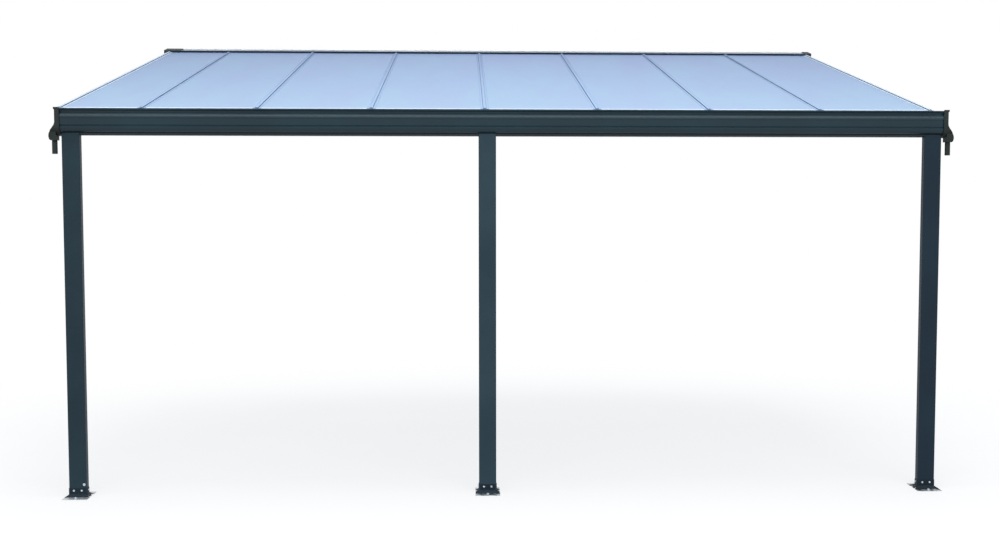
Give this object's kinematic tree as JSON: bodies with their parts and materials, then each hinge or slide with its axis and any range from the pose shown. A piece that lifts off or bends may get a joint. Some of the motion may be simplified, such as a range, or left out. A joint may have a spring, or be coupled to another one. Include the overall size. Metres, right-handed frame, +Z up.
{
  "type": "patio cover",
  "caption": "Lean-to patio cover with translucent multi-wall roof sheets on sloping rafters, a curved front gutter with end spouts, and slim posts on flared feet.",
  "frame": {"origin": "on the wall face behind the wall rail, at the height of the rail's fixing holes, midway between the two gutter end caps", "axes": "+X along the wall to the right as seen from the garden, +Y into the wall, +Z up; the open front faces -Y and the ground is 2.888 m below the origin"},
  "size_m": [5.44, 3.097, 2.9969],
  "materials": {
    "powder_coat": "satin",
    "cap_plastic": "matte",
    "glazing_cap": "gloss",
    "roof_sheet": "gloss",
    "closure": "gloss"
  },
  "bodies": {
    "root": {"wall_rail": "powder_coat", "wall_rail_cap_left": "cap_plastic", "wall_rail_cap_right": "cap_plastic", "rafter_1": "powder_coat", "rafter_2": "powder_coat", "rafter_3": "powder_coat", "rafter_4": "powder_coat", "rafter_5": "powder_coat", "rafter_6": "powder_coat", "rafter_7": "powder_coat", "rafter_8": "powder_coat", "rafter_9": "powder_coat", "glazing_cap_1": "glazing_cap", "glazing_cap_2": "glazing_cap", "glazing_cap_3": "glazing_cap", "glazing_cap_4": "glazing_cap", "glazing_cap_5": "glazing_cap", "glazing_cap_6": "glazing_cap", "glazing_cap_7": "glazing_cap", "glazing_cap_8": "glazing_cap", "glazing_cap_9": "glazing_cap", "roof_panel_1": "roof_sheet", "roof_panel_2": "roof_sheet", "roof_panel_3": "roof_sheet", "roof_panel_4": "roof_sheet", "roof_panel_5": "roof_sheet", "roof_panel_6": "roof_sheet", "roof_panel_7": "roof_sheet", "roof_panel_8": "roof_sheet", "closure_strips": "closure", "gutter": "powder_coat", "gutter_cap_left": "cap_plastic", "gutter_cap_right": "cap_plastic", "post_left": "powder_coat", "post_middle": "powder_coat", "post_right": "powder_coat", "foot_brackets_left": "powder_coat", "foot_brackets_middle": "powder_coat", "foot_brackets_right": "powder_coat"}
  },
  "joints": []
}
